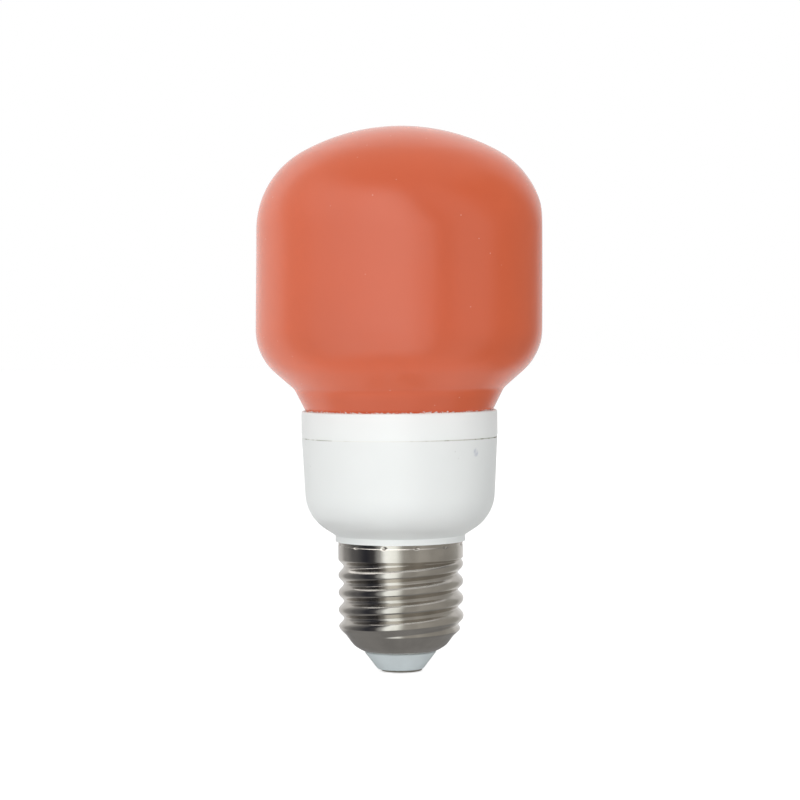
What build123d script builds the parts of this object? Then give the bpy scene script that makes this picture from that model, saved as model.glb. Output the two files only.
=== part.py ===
from build123d import *
import os
from math import sqrt, radians, tan, cos, sin

# Covered energy saving lamp with an E27 screw cap, standing cap down.
# Units are millimetres. z = 0 is the bottom face of the centre contact, +Z points to the dome,
# and the front of the lamp faces -Y.

os.makedirs("parts", exist_ok=True)

# globe
globe_diameter = 60.0
globe_wall = 0.8
lamp_height = 113.4
dome_radius = 42.3
shoulder_radius = 18.4
heel_radius = 12.0
heel_z = 66.0
throat_r = 21.84
throat_z = 58.9
throat_blend = 3.0
neck_r = 18.6
neck_blend = 4.0

# tube holder, the white collar
collar_rim = 0.705
collar_top = 54.4
collar_edge = 0.35
holder_bottom = 48.9
plate_thickness = 1.5
plate_top = holder_bottom + plate_thickness
seat_clearance = 0.15
rest_gap = 0.1
spigot_wall = 1.1
spigot_bottom = 45.0
hook_width = 5.0
hook_height = 1.6
hook_reach = 0.45
hook_bottom = 45.4
hook_count = 4
post_r = 1.0
post_circle = 16.0
post_count = 4

neck_bottom = plate_top + rest_gap
neck_slope = 0.51
neck_cone_z = throat_z - (throat_r - neck_r) / neck_slope
seat_r = neck_r + seat_clearance
seat_top_r = seat_r + (collar_top - neck_cone_z) * neck_slope
collar_r = seat_top_r + collar_rim

# discharge tube
tube_d = 9.0
tube_clearance = 0.15
leg_circle = 11.5
leg_count = 6
leg_bottom = 49.3
bend_z = 88.0
bridge_d = 4.4
bridge_z = 57.0
socket_wall = 0.85
socket_top = 54.0
leg_step = 360.0 / leg_count
bend_r = leg_circle * sin(radians(leg_step / 2))
pair_offset = leg_circle * cos(radians(leg_step / 2))

# ballast housing, the white bowl
seam_gap = 0.2
rim_z = holder_bottom - seam_gap
housing_wall = 1.3
housing_draft = 3.0
housing_corner = 9.0
housing_cone = 33.0
ring_step = 0.45
ring_top = 28.45
shell_top = 27.2
lower_neck_gap = 0.1544
housing_bottom = 13.0
rib_count = 6
rib_width = 1.2
rib_inner_r = 15.5
pocket_clearance = 0.2

# ballast board
board_thickness = 1.2
board_bottom = 41.5
board_top = board_bottom + board_thickness
board_clearance = 0.3

# screw shell, a standard E27 cap rolled from thin sheet
thread_pitch = 25.4 / 7
crest_r = 13.05
thread_arc = 1.025
thread_start = 7.7
thread_turns = 4.8
root_flat = 0.08
root_flat_inside = 0.1
ridge_sink = 0.5
ridge_gap = 0.12
sheet = 0.3
skirt_step = 0.05
skirt_bottom = 23.2
shell_bottom = 4.15
hole_r = 7.2
dome_step = 1.2
dome_rises = (0.55, 0.8, 1.4, 1.2, 1.1)
dome_margin = 0.15
dome_lap = 0.02
neck_clearance = 0.15
shoulder_clearance = 0.2

crest_centre_r = crest_r - thread_arc
half_pitch = thread_pitch / 2
root_centre_r = crest_centre_r + sqrt((2 * thread_arc) ** 2 - half_pitch**2)
skirt_r = crest_r + skirt_step
ring_r = skirt_r + ring_step
lower_neck_r = root_centre_r - thread_arc - sheet - lower_neck_gap

# cap insulator and centre contact
contact_r = 4.3
contact_thickness = 0.4
insulator_foot_r = 4.55
insulator_shoulder_r = 7.4
insulator_neck_r = 7.05
insulator_flange_r = 8.2
insulator_top = 6.2
shank_r = 1.45
shank_bore_r = 0.9
shank_clearance = 0.15
shank_rim_r = 2.4
shank_rim_thickness = 0.3

# board parts
lead_side = 0.6
lead_hole = 0.9
lead_tail = 0.8
capacitor_r = 5.0
capacitor_length = 16.0
capacitor_x = -4.8
capacitor_groove = 0.4
choke_x = 9.0
core_depth = 5.0
core_width = 13.0
core_height = 10.5
core_limb = 3.4
core_window_y = 2.7
core_window_z = 6.9
coil_gap = 0.1
coil_build = 1.7
flange_thickness = 0.7
flange_lip = 0.5
toroid_r = 4.5
toroid_hole_r = 2.4
toroid_height = 3.6
toroid_x = 0.5
toroid_y = 10.6
transistor_r = 2.3
transistor_flat = 1.2
transistor_height = 4.6
transistor_top = 40.0
transistor_y = -10.5
transistor_x = (-0.4, -6.6)
transistor_pitch = 1.27
resonant_size = (8.0, 4.0, 7.5)
resonant_at = (6.6, -10.9)
resonant_pitch = 5.0
coupling_size = (3.0, 7.0, 4.5)
coupling_at = (-12.5, 0.0)
coupling_pitch = 5.0
box_edge = 0.5
fuse_r = 1.6
fuse_length = 8.0
fuse_top = 40.0
fuse_at = (6.6, 8.6)
diode_r = 1.3
diode_length = 4.6
diode_y = 5.2
diode_x = (-4.8, -1.6, 1.6, 4.8)
diode_span = 7.6
resistor_r = 0.95
resistor_length = 3.6
resistor_y = -7.0
resistor_x = (-3.2, 5.2)
resistor_span = 6.2
drum_at = (-9.5, 9.0)
drum_r = 3.0
drum_height = 8.0
drum_flange = 0.9
drum_waist_r = 1.5
drum_coil_r = 2.6
pin_side = 0.8
pin_top = 46.6
pin_r = 14.6
pin_spread = 1.8
electrode_spread = 1.3
electrode_wire_r = 0.25
electrode_drop = 2.2
electrode_slant = 1.0
electrode_end = 1.0
wire_clearance = 0.15
wire_bend = 1.2
cable_r = 0.6
live_drop = 3.0

face_min = (Align.CENTER, Align.CENTER, Align.MIN)
face_max = (Align.CENTER, Align.CENTER, Align.MAX)


def draft_in(drop):
    return drop * tan(radians(housing_draft))


# globe: blown cover with an open neck
dome_edge_z = lamp_height - dome_radius + sqrt(dome_radius**2 - (globe_diameter / 2) ** 2)
with BuildPart() as globe:
    with BuildSketch(Plane.XZ) as globe_section:
        with BuildLine():
            Polyline(
                (0, neck_bottom - 2 * globe_wall),
                (neck_r, neck_bottom - 2 * globe_wall),
                (neck_r, neck_cone_z),
                (throat_r, throat_z),
                (globe_diameter / 2, heel_z),
                (globe_diameter / 2, dome_edge_z),
            )
            RadiusArc((globe_diameter / 2, dome_edge_z), (0, lamp_height), -dome_radius)
            Line((0, lamp_height), (0, neck_bottom - 2 * globe_wall))
        make_face()
        fillet(globe_section.vertices().sort_by_distance((neck_r, neck_cone_z))[0], neck_blend)
        fillet(globe_section.vertices().sort_by_distance((throat_r, throat_z))[0], throat_blend)
        fillet(globe_section.vertices().sort_by_distance((globe_diameter / 2, heel_z))[0], heel_radius)
        fillet(
            globe_section.vertices().sort_by_distance((globe_diameter / 2, dome_edge_z))[0],
            shoulder_radius,
        )
        mirror(about=Plane.YZ)
        offset(amount=-globe_wall, mode=Mode.SUBTRACT)
        with Locations((0, neck_bottom)):
            Rectangle(globe_diameter, 4 * globe_wall, align=(Align.CENTER, Align.MAX), mode=Mode.SUBTRACT)
        split(bisect_by=Plane.YZ)
    revolve(axis=Axis.Z)
globe.part.label = "globe"
export_step(globe.part, "parts/globe.step")

# tube holder: collar, floor with six tube sockets, spigot, snap hooks and hold-down posts
spigot_r = collar_r - draft_in(rim_z - spigot_bottom) - housing_wall - seat_clearance
socket_r = tube_d / 2 + tube_clearance
with BuildPart() as tube_holder:
    with BuildSketch(Plane.XZ) as collar_section:
        with BuildLine():
            Polyline(
                (0, holder_bottom),
                (collar_r, holder_bottom),
                (collar_r, collar_top),
                (seat_top_r, collar_top),
                (seat_r, neck_cone_z),
                (seat_r, plate_top),
                (0, plate_top),
                close=True,
            )
        make_face()
        fillet(collar_section.vertices().sort_by_distance((collar_r, collar_top))[0], collar_edge)
    revolve(axis=Axis.Z)
    with Locations((0, 0, holder_bottom)):
        Cylinder(spigot_r, holder_bottom - spigot_bottom, align=face_max)
        Cylinder(
            spigot_r - spigot_wall, holder_bottom - spigot_bottom, align=face_max, mode=Mode.SUBTRACT
        )
        with PolarLocations(post_circle, post_count, start_angle=45):
            Cylinder(post_r, holder_bottom - board_top, align=face_max)
    with Locations((0, 0, hook_bottom)):
        with PolarLocations(spigot_r - spigot_wall / 2, hook_count):
            Box(
                spigot_wall / 2 + hook_reach,
                hook_width,
                hook_height,
                align=(Align.MIN, Align.CENTER, Align.MIN),
            )
    with Locations((0, 0, plate_top)):
        with PolarLocations(leg_circle, leg_count):
            Cylinder(socket_r + socket_wall, socket_top - plate_top, align=face_min)
    with Locations((0, 0, holder_bottom)):
        with PolarLocations(leg_circle, leg_count):
            Cylinder(socket_r, socket_top - holder_bottom, align=face_min, mode=Mode.SUBTRACT)
tube_holder.part.label = "tube_holder"
export_step(tube_holder.part, "parts/tube_holder.step")

# discharge tube: three bends joined by two bridges, sealed and built as one solid
with BuildPart() as discharge_tube:
    with PolarLocations(leg_circle, leg_count):
        with Locations((0, 0, leg_bottom)):
            Cylinder(tube_d / 2, bend_z - leg_bottom, align=face_min)
    for turn in range(leg_count // 2):
        bend_plane = Plane.XY.rotated((0, 0, (2 * turn + 0.5) * leg_step)).offset(bend_z)
        with BuildSketch(bend_plane):
            with Locations((pair_offset, bend_r)):
                Circle(tube_d / 2)
        bend_axis = Axis(bend_plane.from_local_coords((pair_offset, 0, 0)), bend_plane.x_dir)
        revolve(axis=bend_axis, revolution_arc=180)
    for turn in range(leg_count // 2 - 1):
        bridge_plane = Plane.XY.rotated((0, 0, (2 * turn + 1.5) * leg_step)).offset(bridge_z)
        with Locations(bridge_plane):
            with Locations((pair_offset, 0, 0)):
                Cylinder(bridge_d / 2, 2 * bend_r, rotation=(90, 0, 0))
discharge_tube.part.label = "discharge_tube"
export_step(discharge_tube.part, "parts/discharge_tube.step")

# ballast housing: drafted bowl, neck ring and the two stepped necks inside the screw shell
upper_neck_r = skirt_r - sheet - neck_clearance
upper_neck_z = skirt_bottom + sheet + shoulder_clearance
cone_slope = tan(radians(housing_cone))
draft_slope = tan(radians(housing_draft))
corner_r = (collar_r - (rim_z - ring_top + ring_r * cone_slope) * draft_slope) / (
    1 - cone_slope * draft_slope
)
corner_z = ring_top + (corner_r - ring_r) * cone_slope
over_rim = 2 * housing_wall
with BuildPart() as housing_form:
    with BuildSketch(Plane.XZ) as housing_section:
        with BuildLine():
            Polyline(
                (0, housing_bottom - over_rim),
                (lower_neck_r, housing_bottom - over_rim),
                (lower_neck_r, upper_neck_z),
                (upper_neck_r, upper_neck_z),
                (upper_neck_r, shell_top),
                (ring_r, shell_top),
                (ring_r, ring_top),
                (corner_r, corner_z),
                (collar_r + draft_in(over_rim), rim_z + over_rim),
                (0, rim_z + over_rim),
                close=True,
            )
        make_face()
        fillet(housing_section.vertices().sort_by_distance((corner_r, corner_z))[0], housing_corner)
        mirror(about=Plane.YZ)
    with BuildSketch(Plane.XZ) as housing_inside:
        add(housing_section.sketch)
        offset(amount=-housing_wall, mode=Mode.REPLACE)
        split(bisect_by=Plane.YZ)
    revolve(housing_inside.sketch, axis=Axis.Z, mode=Mode.REPLACE)
    with Locations((0, 0, board_bottom)):
        with PolarLocations(rib_inner_r, rib_count, start_angle=30):
            Box(
                collar_r,
                rib_width,
                board_bottom - ring_top,
                align=(Align.MIN, Align.CENTER, Align.MAX),
                mode=Mode.SUBTRACT,
            )
with BuildPart() as ballast_housing:
    with BuildSketch(Plane.XZ):
        add(housing_section.sketch)
        with Locations((0, rim_z)):
            Rectangle(3 * collar_r, 2 * over_rim, align=(Align.CENTER, Align.MIN), mode=Mode.SUBTRACT)
        with Locations((0, housing_bottom)):
            Rectangle(3 * collar_r, 2 * over_rim, align=(Align.CENTER, Align.MAX), mode=Mode.SUBTRACT)
        split(bisect_by=Plane.YZ)
    revolve(axis=Axis.Z)
    add(housing_form.part, mode=Mode.SUBTRACT)
    with Locations((0, 0, hook_bottom - pocket_clearance)):
        with PolarLocations(spigot_r - spigot_wall, hook_count):
            Box(
                spigot_wall + hook_reach + pocket_clearance,
                hook_width + 2 * pocket_clearance,
                hook_height + 2 * pocket_clearance,
                align=(Align.MIN, Align.CENTER, Align.MIN),
                mode=Mode.SUBTRACT,
            )
ballast_housing.part.label = "ballast_housing"
export_step(ballast_housing.part, "parts/ballast_housing.step")


# screw shell: the same threaded form, full size and one sheet smaller, taken from one another
crest_facet = radians(22.5)


def threaded_form(inset, flat, top):
    crest_arc = thread_arc - inset
    root_arc = thread_arc + inset
    core_r = root_centre_r - root_arc + flat
    foot = core_r - ridge_sink - crest_centre_r
    half_width = half_pitch - ridge_gap
    toe = root_centre_r - crest_centre_r - sqrt(root_arc**2 - (half_pitch - half_width) ** 2)
    meet_r = crest_arc * (root_centre_r - crest_centre_r) / (2 * thread_arc)
    meet_z = crest_arc * half_pitch / (2 * thread_arc)
    rises = [shell_bottom + sum(dome_rises[:count]) for count in range(len(dome_rises) + 1)]
    helix = Helix(
        thread_pitch, thread_pitch * thread_turns, crest_centre_r, center=(0, 0, thread_start)
    )
    with BuildPart() as form:
        Cylinder(core_r, shell_top - 4 * sheet, align=face_min)
        with BuildSketch(Plane(origin=helix @ 0, x_dir=(1, 0, 0), z_dir=helix % 0)):
            with BuildLine():
                Polyline(
                    (toe, -half_width),
                    (foot, -half_width),
                    (foot, half_width),
                    (toe, half_width),
                    (meet_r, meet_z),
                    (crest_arc * cos(crest_facet), crest_arc * sin(crest_facet)),
                    (crest_arc * cos(crest_facet), -crest_arc * sin(crest_facet)),
                    (meet_r, -meet_z),
                    close=True,
                )
            make_face()
        sweep(path=helix, is_frenet=True)
        with Locations((0, 0, skirt_bottom + inset)):
            Cylinder(skirt_r - inset, top - skirt_bottom - inset, align=face_min)
        with BuildSketch(Plane.XZ):
            with BuildLine():
                Polyline(
                    (2 * crest_r, rises[5] + inset),
                    (crest_r + dome_margin - 0.3 * inset, rises[5] + inset),
                    (core_r - dome_lap, rises[4] + 0.5 * inset),
                    (hole_r + 3 * dome_step - 0.7 * inset, rises[3] + 0.7 * inset),
                    (hole_r + 2 * dome_step - 0.6 * inset, rises[2] + 0.8 * inset),
                    (hole_r + dome_step - 0.3 * inset, rises[1] + inset),
                    (hole_r - 0.3 * inset, rises[0] + inset),
                    (0, rises[0] + inset),
                    (0, -crest_r),
                    (2 * crest_r, -crest_r),
                    close=True,
                )
            make_face()
        revolve(axis=Axis.Z, mode=Mode.SUBTRACT)
    return form.part


shell_form = threaded_form(0, root_flat, shell_top)
shell_space = threaded_form(sheet, root_flat_inside, shell_top + thread_pitch)
with BuildPart() as screw_shell:
    add(shell_form)
    add(shell_space, mode=Mode.SUBTRACT)
    Cylinder(hole_r, 4 * shell_bottom, mode=Mode.SUBTRACT)
screw_shell.part.label = "screw_shell"
export_step(screw_shell.part, "parts/screw_shell.step")

# cap insulator: tapered button held by the rim of the hole in the shell
flange_rise = 0.6
flange_gap = 0.05
with BuildPart() as cap_insulator:
    with BuildSketch(Plane.XZ):
        with BuildLine():
            Polyline(
                (shank_r + shank_clearance, contact_thickness),
                (insulator_foot_r, contact_thickness),
                (insulator_shoulder_r, shell_bottom),
                (insulator_neck_r, shell_bottom),
                (insulator_neck_r, shell_bottom + sheet + flange_gap),
                (insulator_flange_r, shell_bottom + sheet + flange_gap + flange_rise),
                (insulator_flange_r, insulator_top),
                (shank_r + shank_clearance, insulator_top),
                close=True,
            )
        make_face()
    revolve(axis=Axis.Z)
cap_insulator.part.label = "cap_insulator"
export_step(cap_insulator.part, "parts/cap_insulator.step")

# centre contact: disc with a hollow shank turned over inside the cap
with BuildPart() as centre_contact:
    Cylinder(contact_r, contact_thickness, align=face_min)
    Cylinder(shank_r, insulator_top + shank_rim_thickness, align=face_min)
    with Locations((0, 0, insulator_top)):
        Cylinder(shank_rim_r, shank_rim_thickness, align=face_min)
    with Locations((0, 0, contact_thickness)):
        Cylinder(shank_bore_r, insulator_top, align=face_min, mode=Mode.SUBTRACT)
centre_contact.part.label = "centre_contact"
export_step(centre_contact.part, "parts/centre_contact.step")

# where leads pass through the board
hanging_leads = [
    (capacitor_x, capacitor_r / 2),
    (capacitor_x, -capacitor_r / 2),
    (drum_at[0] + drum_waist_r, drum_at[1]),
    (drum_at[0] - drum_waist_r, drum_at[1]),
    (resonant_at[0] - resonant_pitch / 2, resonant_at[1]),
    (resonant_at[0] + resonant_pitch / 2, resonant_at[1]),
    fuse_at,
]
transistor_leads = [
    (x + step * transistor_pitch, transistor_y) for x in transistor_x for step in (-1, 0, 1)
]
diode_leads = [(x, diode_y + side * diode_span / 2) for x in diode_x for side in (-1, 1)]
resistor_leads = [(x, resistor_y + side * resistor_span / 2) for x in resistor_x for side in (-1, 1)]
coupling_leads = [(coupling_at[0], coupling_at[1] + side * coupling_pitch / 2) for side in (-1, 1)]
pin_points = [
    (
        pin_r * cos(radians(-leg_step * end)) - side * pin_spread * sin(radians(-leg_step * end)),
        pin_r * sin(radians(-leg_step * end)) + side * pin_spread * cos(radians(-leg_step * end)),
    )
    for end in (0, 1)
    for side in (-1, 1)
]
shell_wire_at = (3.2, -7.2)

# ballast board
board_r = collar_r - draft_in(rim_z - board_bottom) - housing_wall - board_clearance
with BuildPart() as ballast_board:
    with Locations((0, 0, board_bottom)):
        Cylinder(board_r, board_thickness, align=face_min)
    with BuildSketch(Plane.XY.offset(board_top)):
        with Locations(
            *(hanging_leads + transistor_leads + coupling_leads + diode_leads + resistor_leads)
        ):
            Rectangle(lead_hole, lead_hole)
        with Locations(*pin_points):
            Rectangle(pin_side, pin_side)
        with Locations(shell_wire_at):
            Circle(cable_r + 0.1)
    extrude(amount=-board_thickness, mode=Mode.SUBTRACT)
ballast_board.part.label = "ballast_board"
export_step(ballast_board.part, "parts/ballast_board.step")

# smoothing capacitor
with BuildPart() as smoothing_capacitor:
    with Locations((capacitor_x, 0, board_bottom)):
        Cylinder(capacitor_r, capacitor_length, align=face_max)
    chamfer(smoothing_capacitor.edges().filter_by(GeomType.CIRCLE), capacitor_groove)
    with Locations(*[(x, y, board_bottom) for x, y in hanging_leads[:2]]):
        Box(lead_side, lead_side, board_thickness + lead_tail, align=face_min)
smoothing_capacitor.part.label = "smoothing_capacitor"
export_step(smoothing_capacitor.part, "parts/smoothing_capacitor.step")

# choke: E core with a bobbin and winding on the middle limb
coil_top = board_bottom - (core_height - core_window_z) / 2
with BuildPart() as choke_core:
    with Locations((choke_x, 0, board_bottom)):
        Box(core_depth, core_width, core_height, align=face_max)
    with Locations((choke_x, 0, coil_top)):
        with Locations(
            (0, (core_limb + core_window_y) / 2, 0), (0, -(core_limb + core_window_y) / 2, 0)
        ):
            Box(core_depth, core_window_y, core_window_z, align=face_max, mode=Mode.SUBTRACT)
choke_core.part.label = "choke_core"
export_step(choke_core.part, "parts/choke_core.step")

bobbin_wall = 0.5
bobbin_x = core_depth / 2 + coil_gap + bobbin_wall
bobbin_y = core_limb / 2 + coil_gap + bobbin_wall
with BuildPart() as choke_bobbin:
    with Locations((choke_x, 0, coil_top - coil_gap)):
        Box(2 * bobbin_x, 2 * bobbin_y, core_window_z - 2 * coil_gap, align=face_max)
        with Locations((0, 0, 0), (0, 0, flange_thickness + 2 * coil_gap - core_window_z)):
            Box(
                2 * (bobbin_x + coil_build),
                2 * (bobbin_y + coil_build),
                flange_thickness,
                align=face_max,
            )
        Box(
            core_depth + 2 * coil_gap,
            core_limb + 2 * coil_gap,
            2 * core_height,
            mode=Mode.SUBTRACT,
        )
choke_bobbin.part.label = "choke_bobbin"
export_step(choke_bobbin.part, "parts/choke_bobbin.step")

with BuildPart() as choke_coil:
    with BuildSketch(Plane.XY.offset(coil_top - coil_gap - flange_thickness)):
        with Locations((choke_x, 0)):
            RectangleRounded(
                2 * (bobbin_x + coil_build - 0.2), 2 * (bobbin_y + coil_build - 0.2), 1.4
            )
            Rectangle(2 * bobbin_x, 2 * bobbin_y, mode=Mode.SUBTRACT)
    extrude(amount=-(core_window_z - 2 * coil_gap - 2 * flange_thickness))
choke_coil.part.label = "choke_coil"
export_step(choke_coil.part, "parts/choke_coil.step")

# drive transformer: ferrite ring flat against the board
with BuildPart() as drive_transformer:
    with Locations((toroid_x, toroid_y, board_bottom)):
        Cylinder(toroid_r, toroid_height, align=face_max)
        Cylinder(toroid_hole_r, toroid_height, align=face_max, mode=Mode.SUBTRACT)
drive_transformer.part.label = "drive_transformer"
export_step(drive_transformer.part, "parts/drive_transformer.step")

# power transistors with three leads each
with BuildPart() as power_transistors:
    with BuildSketch(Plane.XY.offset(transistor_top)):
        with Locations(*[(x, transistor_y) for x in transistor_x]):
            Circle(transistor_r)
        with Locations(*[(x, transistor_y - transistor_flat) for x in transistor_x]):
            Rectangle(
                3 * transistor_r, 2 * transistor_r, align=(Align.CENTER, Align.MAX), mode=Mode.SUBTRACT
            )
    extrude(amount=-transistor_height)
    with Locations(*[(x, y, transistor_top) for x, y in transistor_leads]):
        Box(lead_side, lead_side, board_top + lead_tail - transistor_top, align=face_min)
power_transistors.part.label = "power_transistors"
export_step(power_transistors.part, "parts/power_transistors.step")

# film capacitors
with BuildPart() as resonant_capacitor:
    with Locations((resonant_at[0], resonant_at[1], board_bottom)):
        Box(*resonant_size, align=face_max)
    fillet(resonant_capacitor.edges().filter_by(Axis.Z), box_edge)
    with Locations(*[(x, y, board_bottom) for x, y in hanging_leads[4:6]]):
        Box(lead_side, lead_side, board_thickness + lead_tail, align=face_min)
resonant_capacitor.part.label = "resonant_capacitor"
export_step(resonant_capacitor.part, "parts/resonant_capacitor.step")

with BuildPart() as coupling_capacitor:
    with Locations((coupling_at[0], coupling_at[1], board_top)):
        Box(*coupling_size, align=face_min)
    fillet(coupling_capacitor.edges().filter_by(Axis.Z), box_edge)
    with Locations(*[(x, y, board_top) for x, y in coupling_leads]):
        Box(lead_side, lead_side, board_thickness, align=face_max)
coupling_capacitor.part.label = "coupling_capacitor"
export_step(coupling_capacitor.part, "parts/coupling_capacitor.step")

# fuse resistor standing under the board
with BuildPart() as fuse_resistor:
    with Locations((fuse_at[0], fuse_at[1], fuse_top)):
        Cylinder(fuse_r, fuse_length, align=face_max)
    chamfer(fuse_resistor.edges().filter_by(GeomType.CIRCLE), box_edge)
    with Locations((fuse_at[0], fuse_at[1], fuse_top - box_edge)):
        Box(lead_side, lead_side, board_top + lead_tail - fuse_top + box_edge, align=face_min)
fuse_resistor.part.label = "fuse_resistor"
export_step(fuse_resistor.part, "parts/fuse_resistor.step")


# axial parts lying on the board, their leads bent down through it
def axial_part(body_r, body_length, span):
    lift = body_r
    with BuildPart() as axial:
        Cylinder(body_r, body_length, rotation=(90, 0, 0))
        with BuildLine() as route:
            FilletPolyline(
                (0, -span / 2, -lift - board_thickness),
                (0, -span / 2, 0),
                (0, span / 2, 0),
                (0, span / 2, -lift - board_thickness),
                radius=lead_side,
            )
        with BuildSketch(Plane(origin=route.line @ 0, z_dir=route.line % 0)):
            Rectangle(lead_side, lead_side)
        sweep(path=route.line)
    return axial.part


one_diode = axial_part(diode_r, diode_length, diode_span)
with BuildPart() as rectifier_diodes:
    with Locations(*[(x, diode_y, board_top + diode_r) for x in diode_x]):
        add(one_diode)
rectifier_diodes.part.label = "rectifier_diodes"
export_step(rectifier_diodes.part, "parts/rectifier_diodes.step")

one_resistor = axial_part(resistor_r, resistor_length, resistor_span)
with BuildPart() as board_resistors:
    with Locations(*[(x, resistor_y, board_top + resistor_r) for x in resistor_x]):
        add(one_resistor)
board_resistors.part.label = "board_resistors"
export_step(board_resistors.part, "parts/board_resistors.step")

# filter choke: drum core with its winding
with BuildPart() as filter_choke:
    with Locations((drum_at[0], drum_at[1], board_bottom)):
        Cylinder(drum_r, drum_height, align=face_max)
    with BuildSketch(Plane.XY.offset(board_bottom - drum_flange)):
        with Locations(drum_at):
            Circle(drum_r)
            Circle(drum_waist_r, mode=Mode.SUBTRACT)
    extrude(amount=-(drum_height - 2 * drum_flange), mode=Mode.SUBTRACT)
    with Locations(*[(x, y, board_bottom) for x, y in hanging_leads[2:4]]):
        Box(lead_side, lead_side, board_thickness + lead_tail, align=face_min)
filter_choke.part.label = "filter_choke"
export_step(filter_choke.part, "parts/filter_choke.step")

with BuildPart() as filter_coil:
    with BuildSketch(Plane.XY.offset(board_bottom - drum_flange)):
        with Locations(drum_at):
            Circle(drum_coil_r)
            Circle(drum_waist_r, mode=Mode.SUBTRACT)
    extrude(amount=-(drum_height - 2 * drum_flange))
filter_coil.part.label = "filter_coil"
export_step(filter_coil.part, "parts/filter_coil.step")

# wrap pins and the four electrode leads
with BuildPart() as wrap_pins:
    with Locations(*[(x, y, pin_top) for x, y in pin_points]):
        Box(pin_side, pin_side, pin_top - board_bottom, align=face_max)
wrap_pins.part.label = "wrap_pins"
export_step(wrap_pins.part, "parts/wrap_pins.step")

with BuildPart() as electrode_leads:
    for end in (0, 1):
        for side in (-1, 1):
            lead_frame = Plane.XY.rotated((0, 0, -leg_step * end))
            inner = (leg_circle, side * electrode_spread)
            outer_r = pin_r - pin_side / 2 - electrode_wire_r - wire_clearance
            points = [
                lead_frame.from_local_coords((inner[0], inner[1], leg_bottom)),
                lead_frame.from_local_coords((inner[0], inner[1], leg_bottom - electrode_drop)),
                lead_frame.from_local_coords(
                    (outer_r, side * pin_spread, leg_bottom - electrode_drop - electrode_slant)
                ),
                lead_frame.from_local_coords(
                    (outer_r, side * pin_spread, board_top + electrode_end)
                ),
            ]
            with BuildLine() as route:
                FilletPolyline(*points, radius=2 * electrode_wire_r)
            with BuildSketch(Plane(origin=route.line @ 0, z_dir=route.line % 0)):
                RegularPolygon(electrode_wire_r, 6)
            sweep(path=route.line)
electrode_leads.part.label = "electrode_leads"
export_step(electrode_leads.part, "parts/electrode_leads.step")


# mains leads: one to the centre contact, one to the inside of the screw shell
def cable(points):
    with BuildPart() as wire:
        with BuildLine() as route:
            FilletPolyline(*points, radius=wire_bend)
        with BuildSketch(Plane(origin=route.line @ 0, z_dir=route.line % 0)):
            RegularPolygon(cable_r, 8)
        sweep(path=route.line)
    return wire.part


live_points = [
    (fuse_at[0], fuse_at[1], fuse_top - fuse_length),
    (fuse_at[0], fuse_at[1], fuse_top - fuse_length - live_drop),
    (3.0, 5.0, 22.0),
    (0.0, 0.0, 12.0),
    (0.0, 0.0, insulator_top + shank_rim_thickness),
]
live_lead = cable(live_points)
live_lead.label = "live_lead"
export_step(live_lead, "parts/live_lead.step")

shell_wire_z = 9.3
shell_reach = root_centre_r - thread_arc - sheet - rest_gap
shell_wire_r = sqrt(shell_wire_at[0] ** 2 + shell_wire_at[1] ** 2)
shell_points = [
    (shell_wire_at[0], shell_wire_at[1], board_top + lead_tail),
    (shell_wire_at[0], shell_wire_at[1], shell_wire_z),
    (
        shell_wire_at[0] * shell_reach / shell_wire_r,
        shell_wire_at[1] * shell_reach / shell_wire_r,
        shell_wire_z,
    ),
]
shell_lead = cable(shell_points)
shell_lead.label = "shell_lead"
export_step(shell_lead, "parts/shell_lead.step")
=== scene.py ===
from math import atan2, ceil, cos, degrees, exp, hypot, pi, radians, sin, sqrt, tan

import bmesh
import bpy
from mathutils import Matrix, Vector, noise


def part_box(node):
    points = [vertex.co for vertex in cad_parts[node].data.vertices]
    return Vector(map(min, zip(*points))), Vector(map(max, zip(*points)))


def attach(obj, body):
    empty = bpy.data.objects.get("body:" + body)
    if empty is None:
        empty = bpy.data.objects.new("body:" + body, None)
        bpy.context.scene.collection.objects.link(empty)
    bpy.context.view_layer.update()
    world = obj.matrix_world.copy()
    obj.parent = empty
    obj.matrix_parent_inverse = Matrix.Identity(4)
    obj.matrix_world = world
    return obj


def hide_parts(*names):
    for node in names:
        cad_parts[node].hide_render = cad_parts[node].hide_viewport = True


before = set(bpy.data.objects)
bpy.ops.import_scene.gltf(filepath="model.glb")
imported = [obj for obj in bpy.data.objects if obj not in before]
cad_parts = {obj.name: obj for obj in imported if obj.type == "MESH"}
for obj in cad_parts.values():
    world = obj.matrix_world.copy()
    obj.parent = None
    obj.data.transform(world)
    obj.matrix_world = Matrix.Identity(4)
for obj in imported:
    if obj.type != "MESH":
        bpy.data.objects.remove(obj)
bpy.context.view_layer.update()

bl_info = {
    "name": "Energy Saving Bulb",
    "version": (1, 0, 0),
    "blender": (4, 5, 0),
    "location": "View3D > Sidebar > Bulb",
    "description": "Dresses the packed lamp with a blown globe, a rolled screw cap and its finishes",
    "category": "Object",
}

MM = 0.001
ROOT = "root"


def cad_top(node):
    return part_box(node)[1][2] / MM


def cad_bottom(node):
    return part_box(node)[0][2] / MM


def cad_radius(node):
    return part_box(node)[1][0] / MM


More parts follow.
